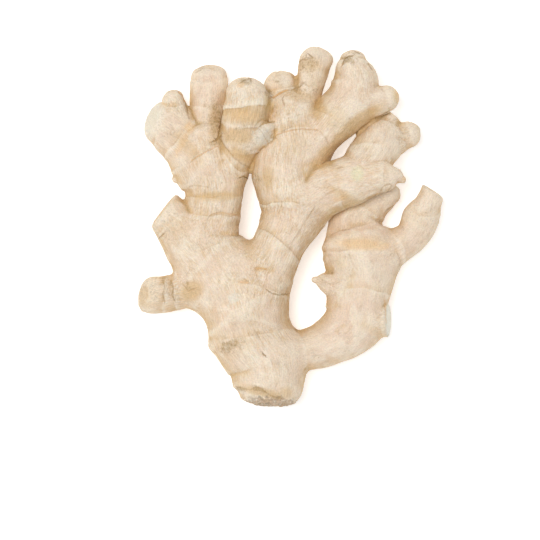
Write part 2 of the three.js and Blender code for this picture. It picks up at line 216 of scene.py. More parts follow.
# Thin lines seen on top: creases, cracks, rims of scars. Kind, strength and points in plan.
strokes = [
    ("crease", 0.45, [(-41, 3), (-40, 5), (-38, 6)]),
    ("orange", 0.45, [(-38, 6), (-34, 6.5), (-28, 5.5), (-23.5, 4.5)]),
    ("orange", 0.6, [(-49, 32), (-46.5, 34), (-42, 36.5), (-36.5, 39.5)]),
    ("crease", 1.0, [(-38, 42), (-36.5, 42.5), (-35, 44.5)]),
    ("crease", 0.9, [(-24.5, 24), (-23, 24.5), (-20.5, 24)]),
    ("crease", 0.4, [(-34.5, 42.5), (-32, 38.5), (-28, 33.5), (-23.5, 30.5), (-20, 29)]),
    ("orange", 0.9, [(-10, 63.5), (-8, 64), (-5.5, 66), (-3, 67), (-1, 67.5)]),
    ("crease", 0.5, [(-1, 67.5), (2, 68), (5, 69.5), (7, 71)]),
    ("orange", 0.6, [(-7.5, 44.5), (-3.5, 46.5), (5, 48), (13.5, 47.5)]),
    ("crease", 0.35, [(14.5, 47), (17.5, 43.5), (19, 41)]),
    ("crease", 0.5, [(-3.5, 64.5), (-4, 63), (-3, 60)]),
    ("crease", 0.4, [(6.5, 71), (9.5, 69)]),
    ("crease", 0.4, [(-17.5, 49), (-16, 51), (-13.5, 52.5), (-10.5, 51.5)]),
    ("crease", 0.35, [(-15, 47.5), (-13, 45), (-11.5, 42)]),
    ("crease", 0.6, [(-7.5, 47.5), (-7.5, 45), (-9, 42)]),
    ("crease", 0.3, [(-13, 49), (-11, 46.5), (-9.5, 44)]),
    ("crease", 0.25, [(-17.5, 45.5), (-15.5, 43)]),
    ("crease", 0.8, [(9.5, 85), (11, 84)]),
    ("crease", 0.6, [(5, 82), (6.5, 83), (8, 82.5)]),
    ("crease", 0.6, [(-24.5, 70.5), (-22, 72)]),
    ("crease", 0.9, [(-20.5, 72.5), (-19.5, 73), (-19.5, 71.5)]),
    ("crease", 0.9, [(25.5, 80), (26, 81.5), (27, 82.5)]),
    ("crease", 0.8, [(26.5, 83), (29, 84), (31, 84.5)]),
    ("crease", 0.7, [(31, 87.5), (32.5, 86.5), (34.5, 85.5)]),
    ("crease", 0.5, [(26.5, 80.5), (29, 82)]),
    ("crease", 0.6, [(38.5, 80.5), (40.5, 77.5)]),
    ("crease", 0.45, [(45, 17.5), (46, 19.5), (49, 20.5), (50.5, 19.5), (49, 17.5)]),
    ("crease", 0.35, [(12, 9), (8, 2.5), (4, -4), (0.5, -8.5)]),
    ("crease", 0.25, [(14, 11.5), (19, 16), (25, 19)]),
    ("crease", 0.3, [(-12, -2.5), (-3.5, -8.5), (0.5, -12), (4.5, -17)]),
    ("crease", 0.6, [(-12, -31.5), (-9, -33.5), (-5, -34.5), (-1, -34)]),
    ("crease", 0.25, [(-17.5, -21.5), (-16, -26.5), (-14, -31)]),
    ("crease", 0.2, [(-13.5, -31), (-11.5, -26.5), (-11, -21.5)]),
    ("orange", 0.6, [(-17, -21), (-14.5, -21), (-12, -21.5)]),
    ("orange", 0.5, [(-25, -28), (-23, -28), (-20.5, -28.5)]),
    ("crease", 0.5, [(-22.5, -26.5), (-20.5, -28)]),
    ("crease", 0.3, [(-17, -52.5), (-15, -56), (-13, -59.5)]),
    ("crease", 0.3, [(-23.5, -55.5), (-21, -59), (-19.5, -63)]),
    ("crease", 0.25, [(-27, -57), (-24, -62), (-22, -66)]),
    ("crease", 1.0, [(-13.2, -63.8), (-12.8, -64.2)]),
    ("crease", 0.35, [(-27, -80), (-24.5, -80.5), (-22, -81.5), (-20, -81.5)]),
    ("crease", 0.4, [(-19, -81), (-17, -80), (-14, -81), (-11, -83.5)]),
    ("crease", 0.4, [(-11, -83.5), (-8, -85), (-4, -86)]),
    ("crease", 0.3, [(-19, -85.5), (-15, -85.5), (-12, -87.5), (-10, -88)]),
    ("crease", 0.6, [(-65, -6), (-63, -4)]),
    ("crease", 0.5, [(-63.5, -26.5), (-62.5, -30.5), (-63.5, -34), (-62.5, -38)]),
    ("crease", 0.6, [(-59.5, -27), (-58, -31), (-59, -34.5), (-57.5, -37)]),
    ("crease", 0.4, [(-61, -26), (-60.5, -30), (-61.5, -33)]),
    ("crease", 0.3, [(-55.5, -29.5), (-56.5, -33.5), (-55, -36.5)]),
    ("crease", 0.3, [(-52, -25), (-50, -22)]),
    ("crease", 0.4, [(-53.5, -29), (-50.5, -32.5), (-47, -31)]),
    ("crease", 0.35, [(-59.5, 47.5), (-58.5, 48), (-57.5, 46.5), (-58, 45), (-59.5, 45.5), (-59.5, 47.5)]),
    ("orange", 0.8, [(-55.5, 67), (-53.5, 65.5), (-52, 62.5)]),
    ("crease", 0.7, [(-52, 61.5), (-51, 59), (-51, 56.5)]),
    ("crease", 0.35, [(15, -26), (18, -28), (20.5, -29.5)]),
    ("crease", 0.25, [(13.5, -28), (17, -30)]),
    ("orange", 0.5, [(47, -37), (47.5, -42.5), (48, -48.5)]),
    ("crease", 0.4, [(54.5, 44), (56, 43.5)]),
    ("orange", 0.35, [(56, 43.5), (57.5, 42.5)]),
    # Painted shadow line where finger F lies over finger I: this stroke and the next.
    ("crease", 0.6, [(43, 53.5), (47, 55.5)]),
    ("crease", 0.9, [(47.5, 56), (49, 56.5)]),
    ("crease", 0.25, [(32, 28), (34.5, 29), (36.5, 28)]),
    ("crease", 0.4, [(45.5, 67.5), (46, 67)]),
    ("crease", 0.7, [(-47.5, 79.5), (-43.5, 80.5)]),
    ("crease", 0.4, [(-47, 76.5), (-44, 78.5)]),
    ("crease", 0.35, [(20, -5), (24, -2.5), (29, -1.5)]),
    ("crease", 0.4, [(53.5, -14), (55, -17), (54.5, -20)]),
    ("crease", 0.5, [(49, 8), (51.5, 10), (54, 11)]),
    ("crease", 0.35, [(-50, 19.5), (-47, 20), (-41, 19)]),
    ("crease", 0.35, [(-10.5, 63), (-11.5, 58), (-12, 54)]),
    # Partly a crack and partly a painted shadow line, along finger B's right side under finger C.
    ("crease", 0.9, [(-34, 57), (-34.5, 52), (-35, 47), (-36, 43.5)]),
    ("crease", 0.45, [(-51, 59), (-51.5, 56.5), (-50.5, 53.5)]),
]

# Patches seen on top, by kind: x, y, half length, half width, turn in degrees, strength.
patches = {
    "brown": [
        (-51, -29, 3.5, 2.5, 40, 0.5), (-30, -59.5, 6, 3, 25, 0.85), (-11, 65.5, 2, 2.5, 0, 1),
        # The brown patch at (-36.5, 53.5), on finger B's right side, is partly dark speckled skin and
        # partly painted shadow under finger C.
        (8, 81, 5, 3.5, 0, 0.5), (-36.5, 53.5, 4, 10, 0, 0.6), (-16.5, 24, 2, 3, 0, 0.6),
        (29, 82, 4.5, 2, -30, 0.8), (-22.5, 71, 3, 1.5, -30, 1), (-6.5, 71.5, 4, 1.5, -30, 0.5),
        (11, 6.5, 2.5, 1.5, 40, 0.4), (-25, -81, 4, 1.5, 0, 0.8), (-15.5, -81, 4.5, 1.5, -20, 0.9),
        (-6.5, -85.5, 5, 1.5, -10, 0.9), (-2.5, -88.5, 4, 1.5, 20, 0.7), (-65, 58, 12, 13, 0, 0.2),
        (-21, 64.5, 11, 8, 0, 0.15), (-22, 43, 12, 13, 0, 0.25), (-7, 71, 8, 7, 0, 0.15),
        (-2.5, 57, 12, 9, 0, 0.25), (8, 67, 8, 12, 0, 0.25), (26.5, 45, 13, 8, 40, 0.3),
        (-66.5, -31, 11, 9, 0, 0.3), (-61, 0, 11, 11, 0, 0.25), (67.5, 8, 11, 17, -30, 0.15),
    ],
    "peach": [
        (36, -9.5, 13, 3, -4, 0.9), (46, -10.5, 4.5, 2, 15, 0.9), (-50, 48.5, 2.5, 3, 0, 1),
        (-53.5, 41.5, 8.5, 2, 64, 0.6), (25, 13.5, 4.5, 1.5, 15, 0.6), (-23, -28, 3, 1.5, 20, 0.8),
        (-14.5, -21.5, 3, 1, 0, 0.9), (-42.5, 71, 1.5, 10, 0, 0.2), (53.5, 65.5, 1.5, 4, 0, 1),
        (57, 23, 2, 2, 0, 0.8), (-24.5, 69.5, 2, 1.5, 0, 1), (-7.5, 46, 1.5, 2, 0, 0.9),
        (-12, -86.5, 5, 1.5, 0, 0.5), (-23, 54, 8, 3, 0, 0.5), (-25, 34, 7, 3, -30, 0.5),
    ],
    "grey": [
        (-28, -36, 4.5, 3, 40, 0.8), (-25, 64.5, 6.5, 3.5, 0, 0.6), (-62.5, 2, 5.5, 7.5, 40, 0.5),
        (-66.5, -31, 6, 5, 0, 0.4), (-13.5, 45, 5, 5.5, 0, 1), (4, 10.5, 16, 12, 0, 0.35),
        (-4, -13, 12, 10, 0, 0.25), (-14, -62, 17, 13, 0, 0.25),
    ],
    "dry": [
        (-10, -89, 15, 4.5, 0, 0.75),
    ],
    "pale": [
        (-14, 45, 5.5, 6, 0, 0.8), (0, 20.5, 8, 7, 0, 0.5), (-14, -66, 14, 10, 0, 0.4),
        (35, 71, 5, 7, 0, 0.4), (59, 47, 4, 4, 0, 0.4), (-25, -44.5, 13, 8, 0, 0.3),
        (-14, -85.5, 4, 1, -15, 0.8), (36.5, 31, 1.5, 1.5, 0, 0.9), (-14, -25.5, 2, 4.5, 0, 0.6),
        (-58.5, 46.5, 1.2, 1.5, 0, 0.7), (-41, 35.5, 7, 2, -32, 0.5), (-5, -32, 6, 3.5, 0, 0.4),
    ],
    # Many tan patches are painted shade: along the lower edges of finger F and branch H, on finger B's
    # right side, between the ridges of finger C, in the crotches between limbs and at the root of the left
    # knob; the rest are the skin's own tan.
    "tan": [
        (-56, -1, 8, 7, 0, 0.35), (-67.5, -34, 7, 6, 0, 0.3), (11.5, 72, 4, 7, 0, 0.35),
        (3.5, 39, 9, 5, 0, 0.3), (-7, 72, 5, 3, 0, 0.25), (62.5, 3, 8, 7, 0, 0.2),
        (-14, -82.5, 13, 2.5, -12, 0.8), (-2, -83, 4, 4, 0, 0.6), (-21, 54, 13, 4.5, 0, 0.8),
        (-26, 44, 8.5, 4.5, 0, 0.8), (-23.5, 34.5, 8.5, 3.5, -30, 0.85), (-20, -12, 3.5, 7, 0, 0.5),
        (-37, 52, 4, 11, 0, 0.7), (-36.5, 14.5, 14, 2.5, 2, 0.8), (-25, 18, 3, 15, 0, 0.4),
        (-11, 24, 3.5, 7, 0, 0.7), (13.5, 58, 5, 6, 0, 0.8), (16, 31, 6, 3.5, 0, 0.9),
        (22.5, 53, 7, 7, 0, 0.4), (35, 52.5, 14, 3.5, 33, 1), (25, 42.5, 9, 4, 50, 1),
        (18, 36.5, 6, 3.5, 45, 0.8), (5, 64.5, 13, 3.5, -8, 0.5), (-7, 61, 4, 4, 0, 0.4),
        (-50, 38, 13, 4, -50, 0.5), (-54, 13, 7, 2, 10, 0.5), (10, 80, 7, 5, 0, 0.6),
        (-49, -32.5, 6.5, 5, 30, 1), (-70, -39.5, 8, 2, 0, 0.5), (26.5, 15, 13, 2.5, -25, 0.5),
        (-25, -59.5, 10, 6, 30, 0.3), (45, -54.5, 15, 3, -30, 0.4),
    ],
    "scrape": [
        (33, 25.5, 3.5, 4, 0, 0.9),
    ],
    "speckle": [
        (-29, -60, 7, 4, 25, 0.8), (-38.5, 54, 4.5, 12, 0, 0.7), (7.5, 80, 7, 6, 0, 1),
        (5, 67, 9, 4, 0, 0.8), (30, 84, 6, 3, -30, 0.8), (-42.5, 79, 6, 2.5, 0, 0.5),
        (-53, 60, 5, 3.5, 0, 0.6),
    ],
    # Gold patches are yellow-tan tints beside shadows, partly the skin's own colour and partly painted
    # shade.
    "gold": [
        (53, 65, 2.5, 5, 0, 0.6), (25, -18, 4, 5, 30, 0.3), (-11, 61, 2.5, 5, 0, 0.6),
        (31, 9.5, 13, 2.5, 20, 0.4), (21.5, 6, 4, 4.5, 40, 0.4), (36, -8, 15, 4.5, 0, 0.35),
    ],
}

# How the values that the skin's material reads are packed, three to an attribute.
pointValues = {
    "marks": ("flesh", "dry", "up"),
    "stains": ("brown", "peach", "grey"),
    "patches": ("pale", "scrape", "scar"),
    "tones": ("tan", "speckle", "gold"),
    "shape": ("cavity", "groove", "fibrous"),
    "stroke": ("aside", "nearStroke", "orange"),
}
ringValues = ("past", "nearRing", "tint")

skin = {
    "voxel": 0.92,  # size of the even mesh that is laid over the solid
    "spineStep": 0.5,  # between samples of a limb's path
    "spanSamples": 30,  # from one point of a path to the next, before they are evened out
    "margin": 7,  # how far round a limb its own values are worked out
    "blend": (4.5, 15),  # fillet at a root, and how far along the limb it fades out
    "fadeStart": 0.3,  # share of that length where the fading starts
    "crease": 0.5,  # softness where two limbs only touch
    "limbShare": 0.7,  # how fast one limb's relief gives way to the next one's
    "settleSteps": 7,
    "settleReach": 1.2,  # furthest slide in one step
    "settleShare": 0.55,  # drift towards the middle of the neighbours
    "ringSwell": 0.5,
    "ringSwellLength": 3.2,
    "ringStep": 0.4,
    "ringStepLength": 2.6,
    "ringEdge": (0.35, 0.3),  # place and softness of the edge of the step
    "ringWaver": (1.1, 7.5),  # height and pitch
    "ringJitter": (0.3, 2.2),
    "ringReach": 6,  # how far outside a limb its rings are worked out
    "ringFade": 7,  # how far along a limb from a ring its colours reach
    "limbShift": (31.0, 17.0, 53.0),  # keeps the fibres of two limbs from lining up
    "lumps": [(15, 0.7), (6.5, 0.32), (2.6, 0.13)],  # pitch and height
    "furrows": [(3.4, 5, 0.16), (1.9, 8, 0.1)],  # pitch across, stretch along, depth
    "dents": (9, 0.3),  # pitch and depth of shallow dents
    "rough": {"dry": 0.9, "brown": 0.28, "grey": 0.1},
    "oval": 0.025,  # how far the sections stray from round, in two waves and in three
    "lobed": 0.02,
    "lobeTwist": 15,
    "tip": 4,  # rounded end of a limb that gives none
    "strokeWaver": (0.35, 2.5),  # height and pitch
    "strokeReach": 3,
    "strokeGroove": (0.28, 0.75),  # depth and half width
    "strokeLip": (0.1, 1.5, 0.9),  # height, distance from the stroke and half width
    "scars": {"count": 34, "radius": (0.9, 1.9), "apart": 9, "seed": 11, "depth": 0.5},
    "scrapeDepth": 0.25,
    "cutMargin": 0.4,
    "cutSmooth": 0.6,  # share of the relief that a cut face loses
    "cavitySteps": 12,
    "cavityDepth": 0.35,
    "tintSeed": 4,
}


# Waves of Perlin noise at a set of points, one value for each.
def noiseAt(points, pitch, shift=0.0):
    return np.array([noise.noise(p) for p in (points / pitch + shift).tolist()])


def smoothStep(low, high, value):
    t = np.clip((value - low) / (high - low), 0, 1)
    return t * t * (3 - 2 * t)


def unit(vectors):
    return vectors / np.maximum(np.linalg.norm(vectors, axis=-1, keepdims=True), 1e-9)


# Joins two signed distances with a rounding, and gives the second one's share.
def smoothUnion(first, second, softness):
    share = np.clip(0.5 + 0.5 * (first - second) / softness, 0, 1)
    return first * (1 - share) + second * share - softness * share * (1 - share), share


# A limb's path as even samples of centre, half width, half height and the directions
# along, to the side and up.
def traceSpine(limb):
    path = np.array(limb["path"], float)
    knots = np.vstack([2 * path[0] - path[1], path, 2 * path[-1] - path[-2]])
    t = np.linspace(0, 1, skin["spanSamples"], endpoint=False)[:, None]
    spans = [
        b + 0.5 * ((c - a) * t + (2 * a - 5 * b + 4 * c - d) * t**2 + (3 * b - a - 3 * c + d) * t**3)
        for a, b, c, d in zip(knots, knots[1:], knots[2:], knots[3:])
    ]
    dense = np.vstack(spans + [path[-1:]])
    along = np.append(0, np.cumsum(np.linalg.norm(np.diff(dense[:, :3], axis=0), axis=1)))
    count = int(along[-1] / skin["spineStep"]) + 2
    even = np.linspace(0, along[-1], count)
    rows = np.stack([np.interp(even, along, column) for column in dense.T], axis=1)
    tangent = unit(np.gradient(rows[:, :3], axis=0))
    side = unit(np.cross((0, 0, 1), tangent))
    above = np.cross(tangent, side)
    return {"length": along[-1], "step": even[1], "rows": np.hstack([rows, tangent, side, above])}


# The sample of a spine beside each point, the distance along the spine, and the same held
# between its ends.
def followSpine(spine, points):
    rows = spine["rows"]
    apart = (rows[:, :3] ** 2).sum(1) - 2 * points @ rows[:, :3].T
    nearest = apart.argmin(1)
    ahead = ((points - rows[nearest, :3]) * rows[nearest, 5:8]).sum(1)
    distance = nearest * spine["step"] + ahead
    along = np.clip(distance, 0, spine["length"])
    place = along / spine["step"]
    low = np.minimum(place.astype(int), len(rows) - 2)
    share = (place - low)[:, None]
    return rows[low] * (1 - share) + rows[low + 1] * share, distance, along


# Takes off what lies past a limb's cut, with a rounded rim.
def cutEnd(limb, points, outside, way):
    facing = unit(np.array(limb["cut"]["facing"], float))
    beyond = (points - np.array(limb["cut"]["at"], float)) @ facing
    inside, cut = smoothUnion(-outside, -beyond, limb["edge"])
    way = unit(way * (1 - cut)[:, None] + facing * cut[:, None])
    return -inside, way, cut


# How far points lie outside one limb, the way out, where they are across and along it, the
# cosine and sine of where they are around it, and how much they lie on its cut.
def measureLimb(limb, spine, seed, points):
    row, distance, along = followSpine(spine, points)
    centre, width, height, tangent, side, above = np.split(row, [3, 4, 5, 8, 11], axis=1)
    past = distance - along
    reach = np.where(past > 0, limb.get("tip", skin["tip"]), limb.get("base", skin["tip"]))
    offset = points - centre
    a = (offset * side).sum(1)
    b = (offset * above).sum(1)
    x = a / width[:, 0]
    y = b / height[:, 0]
    z = past / reach
    rho = np.maximum(np.sqrt(x * x + y * y + z * z), 1e-6)
    angle = np.arctan2(y, x)
    uneven = (
        1
        + skin["oval"] * np.cos(2 * angle + seed)
        + skin["lobed"] * np.cos(3 * angle + 2 * seed + along / skin["lobeTwist"])
    )
    way = side * (x / width[:, 0])[:, None] + above * (y / height[:, 0])[:, None]
    way += tangent * (z / reach)[:, None]
    slope = np.maximum(np.linalg.norm(way, axis=1), 1e-6) / rho
    outside = (rho - uneven) / slope
    way = unit(way)
    cut = np.zeros(len(points))
    if "cut" in limb:
        outside, way, cut = cutEnd(limb, points, outside, way)
    local = np.stack([a, b, distance], axis=1)
    return outside, way, local, np.stack([x / rho, y / rho], axis=1), cut


# The whole rhizome at a set of points: signed distance and way out of the joined limbs, and
# each limb's own values for the points near it.
def measureRhizome(points, spines):
    count = len(points)
    outside = np.full((len(limbs), count), 99.0)
    local = np.zeros((len(limbs), count, 3))
    around = np.zeros((len(limbs), count, 2))
    cut = np.zeros((len(limbs), count))
    joined = np.full(count, 99.0)
    way = np.zeros((count, 3))
    for seed, (name, limb) in enumerate(limbs.items()):
        spine = spines[name]
        rows = spine["rows"]
        room = rows[:, 3:4] + skin["margin"]
        low, high = (rows[:, :3] - room).min(0), (rows[:, :3] + room).max(0)
        near = np.flatnonzero(((points > low) & (points < high)).all(1))
        part = measureLimb(limb, spine, seed, points[near])
        outside[seed, near], wayOut, local[seed, near], around[seed, near], cut[seed, near] = part
        softness, length = limb.get("blend", skin["blend"])
        rootShare = 1 - smoothStep(skin["fadeStart"] * length, length, local[seed, near, 2])
        blend = skin["crease"] + (softness - skin["crease"]) * rootShare
        joined[near], share = smoothUnion(joined[near], outside[seed, near], blend)
        way[near] = way[near] * (1 - share)[:, None] + wayOut * share[:, None]
    return joined, unit(way), outside, local, around, cut


# How much each limb counts at each point, one in all.
def shareOut(outside):
    shares = np.exp(-(outside - outside.min(0)) / skin["limbShare"])
    return shares / shares.sum(0)


# An even mesh over the solid, by way of a copy of its joined-up triangles.
def evenCopy():
    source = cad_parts["ginger_rhizome"]
    build = bmesh.new()
    build.from_mesh(source.data)
    bmesh.ops.remove_doubles(build, verts=build.verts, dist=1e-6)
    solid = bpy.data.meshes.new("solidCopy")
    build.to_mesh(solid)
    build.free()
    piece = bpy.data.objects.new("gingerSkin", solid)
    bpy.context.scene.collection.objects.link(piece)
    even = piece.modifiers.new("even", "REMESH")
    even.mode = "VOXEL"
    even.voxel_size = skin["voxel"] / 1000
    evaluated = piece.evaluated_get(bpy.context.evaluated_depsgraph_get())
    piece.data = bpy.data.meshes.new_from_object(evaluated)
    piece.data.name = "gingerSkin"
    piece.modifiers.clear()
    bpy.data.meshes.remove(solid)
    print("even mesh:", len(piece.data.vertices), "vertices", len(piece.data.polygons), "faces")
    return piece


def readPoints(mesh):
    flat = np.empty(len(mesh.vertices) * 3)
    mesh.vertices.foreach_get("co", flat)
    return flat.reshape(-1, 3) * 1000


def readEdges(mesh):
    flat = np.empty(len(mesh.edges) * 2, int)
    mesh.edges.foreach_get("vertices", flat)
    return flat.reshape(-1, 2)


def writeAttribute(mesh, name, domain, columns):
    attribute = mesh.attributes.new(name, "FLOAT_VECTOR", domain)
    attribute.data.foreach_set("vector", np.stack(columns, axis=-1).astype(np.float32).ravel())


# The mean of each vertex's neighbours.
def neighbourMean(values, edges, valence):
    total = np.zeros_like(values)
    for here, there in ((0, 1), (1, 0)):
        for axis in range(values.shape[1]):
            total[:, axis] += np.bincount(edges[:, here], values[edges[:, there], axis], len(values))
    return total / valence[:, None]


def slideOn(points, spines):
    outside, way = measureRhizome(points, spines)[:2]
    slide = np.clip(outside, -skin["settleReach"], skin["settleReach"])
    return points - way * slide[:, None], way


# Slides the even mesh onto the joined limbs and evens out its spacing on the way.
def settle(points, edges, valence, spines):
    for step in range(skin["settleSteps"]):
        points, way = slideOn(points, spines)
        drift = neighbourMean(points, edges, valence) - points
        drift -= way * (drift * way).sum(1, keepdims=True)
        points = points + skin["settleShare"] * drift
    return slideOn(points, spines)[0]


# Signed distance past the nearest ring, that ring's strength and the number of the stretch
# between rings, for points of one limb.
def ringPlace(limb, seed, local, around):
    past = np.full(len(local), 50.0)
    strength = np.zeros(len(local))
    stretch = np.zeros(len(local), int)
    height, pitch = skin["ringWaver"]
    waver = height * noiseAt(local * (1, 1, 0.25), pitch, seed * 3.7)
    height, pitch = skin["ringJitter"]
    waver += height * noiseAt(local, pitch, seed * 1.3)
    for at, amount, slant, bow in limb["rings"]:
        ahead = local[:, 2] + waver - at - slant * around[:, 0] - bow * around[:, 1] ** 2
        here = ahead * math.copysign(1, amount)
        closer = np.abs(here) < np.abs(past)
        past = np.where(closer, here, past)
        strength = np.where(closer, abs(amount), strength)
        stretch += ahead > 0
    return past, strength, stretch


# The same for every limb, at the points near it.
def placeRings(outside, local, around):
    count = outside.shape[1]
    rings = []
    for seed, limb in enumerate(limbs.values()):
        near = outside[seed] < skin["ringReach"]
        place = [np.zeros(count), np.zeros(count), np.zeros(count, int)]
        for whole, part in zip(place, ringPlace(limb, seed, local[seed, near], around[seed, near])):
            whole[near] = part
        rings.append(place)
    return rings


# The step at a ring: the skin swells up to it and falls away just past it.
def ringRelief(past, strength):
    before = skin["ringSwell"] * np.exp(-np.abs(past) / skin["ringSwellLength"])
    after = -skin["ringStep"] * np.exp(-np.abs(past) / skin["ringStepLength"])
    edge, softness = skin["ringEdge"]
    share = 1 / (1 + np.exp(-(past - edge) / softness))
    return strength * (before * (1 - share) + after * share)


# Height of the skin's own relief over the smooth limbs.
def reliefOf(points, outside, local, rings):
    shares = shareOut(outside)
    height = np.zeros(len(points))
    for seed, (past, strength, stretch) in enumerate(rings):
        near = shares[seed] > 0.01
        bumps = ringRelief(past[near], strength[near])
        for pitch, stretched, depth in skin["furrows"]:
            bumps += depth * noiseAt(local[seed, near] / (1, 1, stretched), pitch, seed * 5.1)
        height[near] += shares[seed, near] * bumps
    for pitch, amount in skin["lumps"]:
        height += amount * noiseAt(points, pitch, pitch)
    pitch, depth = skin["dents"]
    return height - depth * smoothStep(0.15, 0.5, noiseAt(points, pitch, 7.3))


# How strongly each kind of patch covers each point.
def placePatches(points, way):
    cover = {kind: np.zeros(len(points)) for kind in patches}
    onTop = smoothStep(-0.1, 0.3, way[:, 2])
    for kind, places in patches.items():
        for x, y, halfLength, halfWidth, turn, strength in places:
            angle = math.radians(turn)
            dx, dy = points[:, 0] - x, points[:, 1] - y
            a = (dx * math.cos(angle) + dy * math.sin(angle)) / halfLength
            b = (dy * math.cos(angle) - dx * math.sin(angle)) / halfWidth
            here = strength * smoothStep(1.5, 0.3, np.hypot(a, b))
            if kind != "dry":  # the dry end is dry on its underside too
                here *= onTop
            cover[kind] = np.maximum(cover[kind], here)
    return cover


# Signed distance to the nearest stroke in plan, its strength there, and whether it is orange.
def placeStrokes(points, way):
    reach = skin["strokeReach"]
    aside = np.full(len(points), 9.0)
    strength = np.zeros(len(points))
    orange = np.zeros(len(points))
    upward = np.flatnonzero(way[:, 2] > 0.05)
    height, pitch = skin["strokeWaver"]
    waver = [noiseAt(points[upward], pitch, shift) for shift in (1.0, 8.0)]
    plan = points[upward, :2] + height * np.stack(waver, axis=1)
    for kind, amount, corners in strokes:
        corners = np.array(corners, float)
        close = ((plan > corners.min(0) - reach) & (plan < corners.max(0) + reach)).all(1)
        rows = upward[close]
        for start, end in zip(corners, corners[1:]):
            line = end - start
            offset = plan[close] - start
            share = np.clip(offset @ line / (line @ line), 0, 1)
            gap = np.linalg.norm(offset - share[:, None] * line, axis=1)
            hand = np.where(offset[:, 0] * line[1] - offset[:, 1] * line[0] > 0, -1.0, 1.0)
            closer = gap < np.abs(aside[rows])
            here = rows[closer]
            aside[here] = (gap * hand)[closer]
            strength[here] = amount * np.clip(1 - gap[closer] / reach, 0, 1)
            orange[here] = kind == "orange"
    return np.clip(aside, -reach, reach), strength, orange


# Small round scars of rootlets, low on the sides and on the underside, each with a raised rim.
def placeScars(points, way):
    given = skin["scars"]
    draw = np.random.default_rng(given["seed"])
    chosen = []
    depth = np.zeros(len(points))
    allowed = np.flatnonzero((way[:, 2] < 0.15) & (points[:, 2] > 2.5))
    for candidate in draw.permutation(allowed):
        if len(chosen) == given["count"]:
            break
        if all(np.linalg.norm(points[candidate] - other) > given["apart"] for other in chosen):
            chosen.append(points[candidate])
    for centre in chosen:
        radius = draw.uniform(*given["radius"])
        away = np.linalg.norm(points - centre, axis=1) / radius
        rim = 0.6 * np.exp(-(((away - 1.4) / 0.35) ** 2))
        depth = np.where(away < 2.2, smoothStep(1.15, 0.5, away) - rim, depth)
    return depth


# Grooves of the strokes and scars, and the roughness and depth of the patches.
def markRelief(points, cover, aside, strength, scars):
    depth, width = skin["strokeGroove"]
    lip, away, lipWidth = skin["strokeLip"]
    groove = lip * np.exp(-(((aside - away) / lipWidth) ** 2)) - depth * np.exp(-((aside / width) ** 2))
    height = strength * groove - skin["scars"]["depth"] * scars
    flake = noiseAt(points, 2.9, 9.0) + 0.7 * noiseAt(points, 1.5, 4.0)
    for kind, amount in skin["rough"].items():
        height += amount * cover[kind] * flake
    return height - skin["scrapeDepth"] * cover["scrape"]


# How hollow the skin is at each point, and how much it lies in the groove between two limbs.
def findHollows(points, way, outside, edges, valence):
    smooth = points
    for step in range(skin["cavitySteps"]):
        smooth = neighbourMean(smooth, edges, valence)
    cavity = ((smooth - points) * way).sum(1) / skin["cavityDepth"]
    ranked = np.sort(outside, axis=0)
    groove = np.exp(-(ranked[1] - ranked[0]) / skin["limbShare"]) * smoothStep(0.25, 1.0, cavity)
    return cavity, groove


# Values at the corners of a face, all from the limb that owns the face: the place in that
# limb's straightened frame, and where the nearest ring lies.
def paintLimbs(mesh, outside, local, rings):
    corners = np.empty(len(mesh.loops), int)
    mesh.loops.foreach_get("vertex_index", corners)
    sizes = np.empty(len(mesh.polygons), int)
    mesh.polygons.foreach_get("loop_total", sizes)
    face = np.repeat(np.arange(len(sizes)), sizes)
    owner = np.stack([np.bincount(face, row[corners]) / sizes for row in outside]).argmin(0)[face]
    past, strength, stretch = (np.stack([ring[i] for ring in rings])[owner, corners] for i in range(3))
    tint = np.random.default_rng(skin["tintSeed"]).uniform(0, 1, (len(limbs), 8))[owner, stretch]
    grain = local[owner, corners] + owner[:, None] * np.array(skin["limbShift"])
    near = strength * np.clip(1 - np.abs(past) / skin["ringFade"], 0, 1)
    writeAttribute(mesh, "grain", "CORNER", list(grain.T))
    writeAttribute(mesh, "ring", "CORNER", [np.clip(past, -20, 20), near, tint])


# The grown skin: the even copy slid onto the limbs, with its relief, and the values that its
# material reads.
def buildSkin():
    piece = evenCopy()
    mesh = piece.data
    edges = readEdges(mesh)
    valence = np.bincount(edges.ravel(), minlength=len(mesh.vertices))
    spines = {name: traceSpine(limb) for name, limb in limbs.items()}
    points = settle(readPoints(mesh), edges, valence, spines)
    print("settled on", len(limbs), "limbs")

    way, outside, local, around, cut = measureRhizome(points, spines)[1:]
    rings = placeRings(outside, local, around)
    cover = placePatches(points, way)
    aside, strength, orange = placeStrokes(points, way)
    scars = placeScars(points, way)
    onCut = cut * (outside < outside.min(0) + skin["cutMargin"])
    height = reliefOf(points, outside, local, rings) * (1 - skin["cutSmooth"] * onCut.max(0))
    height += markRelief(points, cover, aside, strength, scars)
    points = points + way * height[:, None]
    points[:, 2] = np.maximum(points[:, 2], 0)
    mesh.vertices.foreach_set("co", (points / 1000).ravel())
    print("relief from", round(height.min(), 2), "to", round(height.max(), 2), "mm")

    cavity, groove = findHollows(points, way, outside, edges, valence)
    bare = np.array([[limb.get("flesh", 0)] for limb in limbs.values()])
    fibre = np.array([limb.get("fibre", 1) for limb in limbs.values()])
    values = {
        **cover,
        "flesh": (onCut * bare).max(0),
        "up": way[:, 2],
        "scar": np.maximum(scars, 0),
        "cavity": cavity,
        "groove": groove,
        "fibrous": fibre @ shareOut(outside),
        "aside": aside,
        "nearStroke": strength,
        "orange": orange,
    }
    for name, packed in pointValues.items():
        writeAttribute(mesh, name, "POINT", [values[part] for part in packed])
    paintLimbs(mesh, outside, local, rings)
    mesh.polygons.foreach_set("use_smooth", np.ones(len(mesh.polygons), bool))
    mesh.update()
    print("skin marked with", len(strokes), "strokes and", len(patches), "kinds of patches")
    return piece


